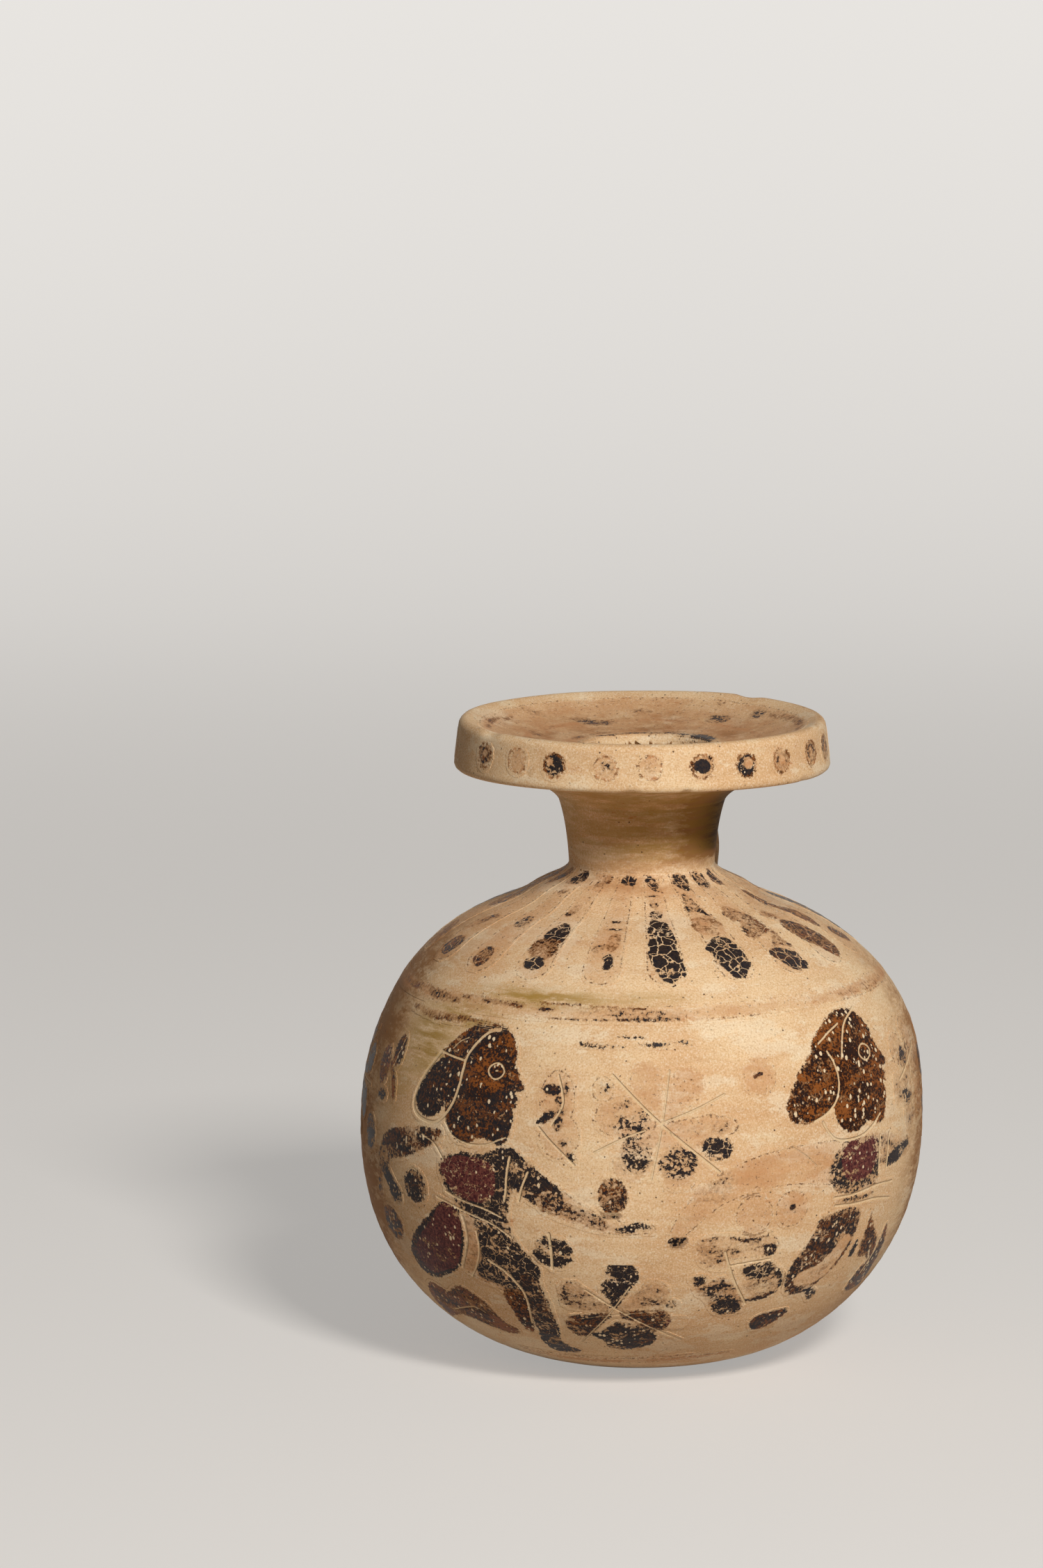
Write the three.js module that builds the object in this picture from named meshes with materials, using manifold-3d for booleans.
// Aryballos: a wheel-thrown clay oil flask, in four luted pieces: a round thin-walled body, a narrow
// neck, a dished mouth disc with a small orifice, and one strap handle at the back.
// Units are millimetres and +Z is up. The origin is the centre of the flat foot, and the front faces -Y.
import * as THREE from 'three';
import { mergeVertices } from 'three/addons/utils/BufferGeometryUtils.js';
import Module from 'manifold-3d';

// Body
const BELLY_RADIUS = 52.5; // outside, at the widest ring
const BELLY_HEIGHT = 42.9; // widest ring above the foot
const SHOULDER_RISE = 45.9; // from the widest ring to where the shoulder curve would close
const FOOT_RADIUS = 12; // flat face that the flask stands on
const BODY_WALL = 4;
const FLOOR_THICKNESS = 6;
const RILL_DEPTH = 0.35; // finger rills left by throwing, on the inside
const LOWER_ROUNDNESS_SHARE = 2.06; // 2 is an ellipse, more is squarer
const SHOULDER_ROUNDNESS_SHARE = 2.44;

// Neck
const ROOT_SPREAD = 11.7; // reach of the hollow curve from the neck out over the shoulder
const ROOT_RISE = 3.5; // foot of the neck above the closing height of the shoulder
const NECK_BASE_RADIUS = 13.5;
const NECK_TOP_RADIUS = 15.5;
const NECK_LENGTH = 12.2;
const BORE_RADIUS = 10;

// Mouth disc
const RIM_RADIUS = 34.9; // outside, at the widest
const RIM_TAPER = 0.8; // how far the rim's wall leans in by its top
const UNDERSIDE_RISE = 6.2; // from the neck to the rim's lower edge
const RIM_HEIGHT = 8.9;
const LIP_THICKNESS = 3.4;
const LIP_ROUND = 1.5;
const LOWER_EDGE_ROUND = 1;
const DISH_DEPTH = 5.2;
const ORIFICE_RADIUS = 12;
const ORIFICE_ROUND = 0.8;

// Strap handle
const HANDLE_WIDTH = 27;
const HANDLE_THICKNESS = 5.4;
const HANDLE_INSET = 1.1; // its outer face inside the rim's edge
const HANDLE_LEAN = 7.4; // how much further out it lands on the shoulder
const HANDLE_BURY = 4; // length worked into the disc and the body before the seats are cut
const HANDLE_TURN = 2.5; // degrees to the right of straight back
const SEAT_GAP = 0.3; // clearance at a curved seat

// Shares of the curves above, and facet counts
const ROOT_PULL_SHARE = 0.42;
const NECK_WAIST_SHARES = { out: 0.2, up: 0.62 };
const UNDERSIDE_SHARES = { out: 0.14, up: 0.72 };
const DISH_CURVE_SHARES = { out: 0.62, down: 0.86 };
const HANDLE_CURVE_SHARES = { upper: 0.3, lower: 0.72, lowerOut: 0.55 };
const HANDLE_FLARE_SHARE = 0.16;
const STRAP_SQUARENESS_SHARE = 3.2;
const TURN_STEPS = 60;
const LOWER_STEPS = 12;
const SHOULDER_STEPS = 14;
const ROOT_STEPS = 6;
const INSIDE_STEPS = 12;
const RILL_COUNT = 4;
const NECK_STEPS = 6;
const UNDERSIDE_STEPS = 6;
const ROUND_STEPS = 3;
const DISH_STEPS = 7;
const HANDLE_STEPS = 16;
const HANDLE_SIDES = 20;

// Heights of the seats between the pieces
const NECK_SEAT = BELLY_HEIGHT + SHOULDER_RISE + ROOT_RISE;
const DISC_SEAT = NECK_SEAT + NECK_LENGTH;
const RIM_LOW = DISC_SEAT + UNDERSIDE_RISE;
const RIM_TOP = RIM_LOW + RIM_HEIGHT;

const wasm = await Module();
wasm.setup();

const buffClay = { color: 0xdec096, roughness: 0.78, metalness: 0 };
const shadedClay = { color: 0xc59a62, roughness: 0.8, metalness: 0 };
const point = (r, z) => new THREE.Vector2(r, z);

// A quarter of the curve (r / a)^n + (z / b)^n = 1, from its equator to its pole, at equal polar angles.
function quarterCurve(a, b, n, steps) {
  return Array.from({ length: steps + 1 }, (_, i) => {
    const angle = (i / steps) * (Math.PI / 2);
    const c = Math.cos(angle);
    const s = Math.sin(angle);
    const reach = Math.pow(Math.pow(c / a, n) + Math.pow(s / b, n), -1 / n);
    return point(reach * c, reach * s);
  });
}

// Height of that curve over its equator at radius r, and its slope there.
function quarterHeight(a, b, n, r) {
  return b * Math.pow(1 - Math.pow(r / a, n), 1 / n);
}

function quarterSlope(a, b, n, r) {
  return -Math.pow(b / a, n) * Math.pow(r / quarterHeight(a, b, n, r), n - 1);
}

// Outside of the body, from the edge of the foot to the foot of the neck.
function bodyOutline() {
  const lower = quarterCurve(BELLY_RADIUS - FOOT_RADIUS, BELLY_HEIGHT, LOWER_ROUNDNESS_SHARE, LOWER_STEPS)
    .reverse()
    .map((p) => point(FOOT_RADIUS + p.x, BELLY_HEIGHT - p.y));
  const join = NECK_BASE_RADIUS + ROOT_SPREAD;
  const shoulder = quarterCurve(BELLY_RADIUS, SHOULDER_RISE, SHOULDER_ROUNDNESS_SHARE, SHOULDER_STEPS)
    .slice(1)
    .filter((p) => p.x > join)
    .map((p) => point(p.x, BELLY_HEIGHT + p.y));
  return [...lower, ...shoulder, ...neckRoot(join)];
}

// The hollow curve that leaves the shoulder along its slope and ends upright under the neck.
function neckRoot(join) {
  const start = point(join, shoulderHeight(join));
  const slope = quarterSlope(BELLY_RADIUS, SHOULDER_RISE, SHOULDER_ROUNDNESS_SHARE, join);
  const tangentHeight = start.y - slope * ROOT_SPREAD;
  const leave = point(join - ROOT_PULL_SHARE * ROOT_SPREAD, start.y - ROOT_PULL_SHARE * slope * ROOT_SPREAD);
  const arrive = point(NECK_BASE_RADIUS, (NECK_SEAT + tangentHeight) / 2);
  const end = point(NECK_BASE_RADIUS, NECK_SEAT);
  return new THREE.CubicBezierCurve(start, leave, arrive, end).getPoints(ROOT_STEPS);
}

function shoulderHeight(r) {
  return BELLY_HEIGHT + quarterHeight(BELLY_RADIUS, SHOULDER_RISE, SHOULDER_ROUNDNESS_SHARE, r);
}

// Inside of the body, from the bore at the neck's seat down to the floor, with the rills of throwing.
function bodyInside() {
  const reach = BELLY_RADIUS - BODY_WALL;
  const rise = SHOULDER_RISE - BODY_WALL;
  const drop = BELLY_HEIGHT - FLOOR_THICKNESS;
  const upper = quarterCurve(reach, rise, SHOULDER_ROUNDNESS_SHARE, INSIDE_STEPS)
    .filter((p) => p.x > BORE_RADIUS)
    .reverse()
    .map((p) => point(p.x, BELLY_HEIGHT + p.y));
  const lower = quarterCurve(reach - FOOT_RADIUS, drop, LOWER_ROUNDNESS_SHARE, INSIDE_STEPS)
    .slice(1)
    .map((p) => point(FOOT_RADIUS + p.x, BELLY_HEIGHT - p.y));
  const crown = BELLY_HEIGHT + quarterHeight(reach, rise, SHOULDER_ROUNDNESS_SHARE, BORE_RADIUS);
  const wall = [...upper, ...lower].map((p, i, all) => {
    const wave = Math.sin((i / (all.length - 1)) * RILL_COUNT * 2 * Math.PI);
    return point(p.x - (RILL_DEPTH * (1 + wave)) / 2, p.y);
  });
  return [point(BORE_RADIUS, NECK_SEAT), point(BORE_RADIUS, crown), ...wall];
}

// Outside of the neck, slightly waisted, from its foot to the mouth disc.
function neckOutline() {
  const spread = NECK_TOP_RADIUS - NECK_BASE_RADIUS;
  const waist = point(
    NECK_BASE_RADIUS + NECK_WAIST_SHARES.out * spread,
    NECK_SEAT + NECK_WAIST_SHARES.up * NECK_LENGTH,
  );
  const foot = point(NECK_BASE_RADIUS, NECK_SEAT);
  const head = point(NECK_TOP_RADIUS, DISC_SEAT);
  return new THREE.QuadraticBezierCurve(foot, waist, head).getPoints(NECK_STEPS);
}

// A quarter round about a centre, from one angle to another, in radians.
function quarterRound(centre, radius, from, to) {
  return Array.from({ length: ROUND_STEPS + 1 }, (_, i) => {
    const angle = THREE.MathUtils.lerp(from, to, i / ROUND_STEPS);
    return point(centre.x + radius * Math.cos(angle), centre.y + radius * Math.sin(angle));
  });
}

// Outside of the mouth disc: its hollow underside, rounded lower edge, leaning rim and rounded lip.
function discOutline() {
  const edge = point(RIM_RADIUS - LOWER_EDGE_ROUND, RIM_LOW);
  const start = point(NECK_TOP_RADIUS, DISC_SEAT);
  const hollow = point(
    NECK_TOP_RADIUS + UNDERSIDE_SHARES.out * (edge.x - NECK_TOP_RADIUS),
    DISC_SEAT + UNDERSIDE_SHARES.up * UNDERSIDE_RISE,
  );
  const underside = new THREE.QuadraticBezierCurve(start, hollow, edge).getPoints(UNDERSIDE_STEPS);
  const lowerCentre = point(RIM_RADIUS - LOWER_EDGE_ROUND, RIM_LOW + LOWER_EDGE_ROUND);
  const lipCentre = point(RIM_RADIUS - RIM_TAPER - LIP_ROUND, RIM_TOP - LIP_ROUND);
  return [
    ...underside.slice(0, -1),
    ...quarterRound(lowerCentre, LOWER_EDGE_ROUND, -Math.PI / 2, 0),
    ...quarterRound(lipCentre, LIP_ROUND, 0, Math.PI / 2),
  ];
}

// The dish from the lip down to the orifice, and the flared throat down to the bore.
function discInside() {
  const lipEdge = point(RIM_RADIUS - RIM_TAPER - LIP_THICKNESS, RIM_TOP - LIP_ROUND / 2);
  const brink = point(ORIFICE_RADIUS + ORIFICE_ROUND, RIM_TOP - DISH_DEPTH);
  const hollow = point(
    THREE.MathUtils.lerp(lipEdge.x, brink.x, 1 - DISH_CURVE_SHARES.out),
    THREE.MathUtils.lerp(lipEdge.y, brink.y, DISH_CURVE_SHARES.down),
  );
  const dish = new THREE.QuadraticBezierCurve(lipEdge, hollow, brink).getPoints(DISH_STEPS);
  const roundCentre = point(brink.x, brink.y - ORIFICE_ROUND);
  return [
    ...dish.slice(0, -1),
    ...quarterRound(roundCentre, ORIFICE_ROUND, Math.PI / 2, Math.PI),
    point(BORE_RADIUS, DISC_SEAT),
  ];
}

// A profile of radius and height turned about the axis of the flask.
function turned(profile) {
  return new THREE.LatheGeometry(profile, TURN_STEPS).rotateX(Math.PI / 2);
}

function closedRing(profile) {
  return turned([...profile, profile[0]]);
}

// The solid that an outline encloses down to the axis, grown by a clearance along its normals.
function grownSolid(outline, clearance) {
  const grown = outline.map((p, i) => {
    const before = outline[Math.max(i - 1, 0)];
    const after = outline[Math.min(i + 1, outline.length - 1)];
    const along = after.clone().sub(before).normalize();
    return point(p.x + along.y * clearance, p.y - along.x * clearance);
  });
  const low = grown[0];
  const high = grown[grown.length - 1];
  return solid(turned([point(0, low.y), ...grown, point(0, high.y)]));
}

function solid(geometry) {
  const bare = new THREE.BufferGeometry();
  bare.setAttribute('position', geometry.getAttribute('position'));
  bare.setIndex(geometry.getIndex());
  const merged = mergeVertices(bare);
  return new wasm.Manifold(
    new wasm.Mesh({
      numProp: 3,
      vertProperties: merged.getAttribute('position').array,
      triVerts: new Uint32Array(merged.getIndex().array),
    }),
  );
}

function geometryOf(manifold) {
  const { vertProperties, triVerts } = manifold.getMesh();
  const geometry = new THREE.BufferGeometry();
  geometry.setAttribute('position', new THREE.BufferAttribute(vertProperties, 3));
  geometry.setIndex(new THREE.BufferAttribute(triVerts, 1));
  return geometry;
}

// A closed skin over rings of points of equal count, with a fan on each end.
function lofted(rings) {
  const sides = rings[0].length;
  const points = rings.flat();
  const index = [];
  for (let ring = 0; ring < rings.length - 1; ring++) {
    for (let side = 0; side < sides; side++) {
      const a = ring * sides + side;
      const b = ring * sides + ((side + 1) % sides);
      index.push(a, b + sides, b, a, a + sides, b + sides);
    }
  }
  const ends = [rings[0], rings[rings.length - 1]].map((ring) =>
    ring.reduce((sum, p) => sum.add(p), new THREE.Vector3()).divideScalar(sides),
  );
  const last = (rings.length - 1) * sides;
  for (let side = 0; side < sides; side++) {
    const next = (side + 1) % sides;
    index.push(points.length, side, next);
    index.push(points.length + 1, last + next, last + side);
  }
  return new THREE.BufferGeometry().setFromPoints([...points, ...ends]).setIndex(index);
}

// The strap: a flat rounded section, bent round the axis as the rim is and carried down a bowed line from the
// disc to the shoulder. It flares at both ends, where it is smeared on. Its ends reach into the disc and the
// body, and the seats are then cut.
function handleGeometry() {
  const headRadius = RIM_RADIUS - HANDLE_INSET - HANDLE_THICKNESS / 2;
  const footRadius = headRadius + HANDLE_LEAN;
  const headHeight = RIM_LOW + HANDLE_BURY;
  const footHeight = shoulderHeight(footRadius) - HANDLE_BURY;
  const heightAt = (share) => THREE.MathUtils.lerp(headHeight, footHeight, share);
  const line = new THREE.CubicBezierCurve3(
    new THREE.Vector3(0, headRadius, headHeight),
    new THREE.Vector3(0, headRadius, heightAt(HANDLE_CURVE_SHARES.upper)),
    new THREE.Vector3(0, headRadius + HANDLE_CURVE_SHARES.lowerOut * HANDLE_LEAN, heightAt(HANDLE_CURVE_SHARES.lower)),
    new THREE.Vector3(0, footRadius, footHeight),
  );
  const rings = Array.from({ length: HANDLE_STEPS + 1 }, (_, i) => strapRing(line, i / HANDLE_STEPS));
  const bodySeat = grownSolid(bodyOutline(), SEAT_GAP);
  const discSeat = grownSolid(discOutline(), SEAT_GAP);
  const strap = solid(lofted(rings)).subtract(bodySeat).subtract(discSeat);
  return geometryOf(strap).rotateZ(THREE.MathUtils.degToRad(-HANDLE_TURN));
}

// One section of the strap, at a share of its length.
function strapRing(line, share) {
  const upright = new THREE.Vector3(0, 0, 1);
  const centre = line.getPoint(share);
  const along = line.getTangent(share);
  const outward = new THREE.Vector3(0, -along.z, along.y);
  const flare = 1 + HANDLE_FLARE_SHARE * Math.pow(Math.abs(2 * share - 1), 3);
  const rounded = (value) => Math.sign(value) * Math.pow(Math.abs(value), 2 / STRAP_SQUARENESS_SHARE);
  return Array.from({ length: HANDLE_SIDES }, (_, i) => {
    const angle = (i / HANDLE_SIDES) * 2 * Math.PI;
    const across = (rounded(Math.cos(angle)) * HANDLE_WIDTH * flare) / 2;
    const deep = (rounded(Math.sin(angle)) * HANDLE_THICKNESS * flare) / 2;
    const onLine = centre.clone().addScaledVector(outward, deep);
    return onLine.applyAxisAngle(upright, -across / centre.y);
  });
}

function piece(name, geometry, finish) {
  const mesh = new THREE.Mesh(geometry, new THREE.MeshStandardMaterial(finish));
  mesh.name = name;
  return mesh;
}

function body() {
  const foot = point(0, 0);
  const floor = point(0, FLOOR_THICKNESS);
  return piece('body', turned([foot, ...bodyOutline(), ...bodyInside(), floor]), buffClay);
}

function neck() {
  const bore = [point(BORE_RADIUS, DISC_SEAT), point(BORE_RADIUS, NECK_SEAT)];
  return piece('neck', closedRing([...neckOutline(), ...bore]), shadedClay);
}

function mouthDisc() {
  return piece('mouth_disc', closedRing([...discOutline(), ...discInside()]), buffClay);
}

function handle() {
  return piece('handle', handleGeometry(), shadedClay);
}

const aryballos = new THREE.Group();
aryballos.add(body(), neck(), mouthDisc(), handle());

export default aryballos;
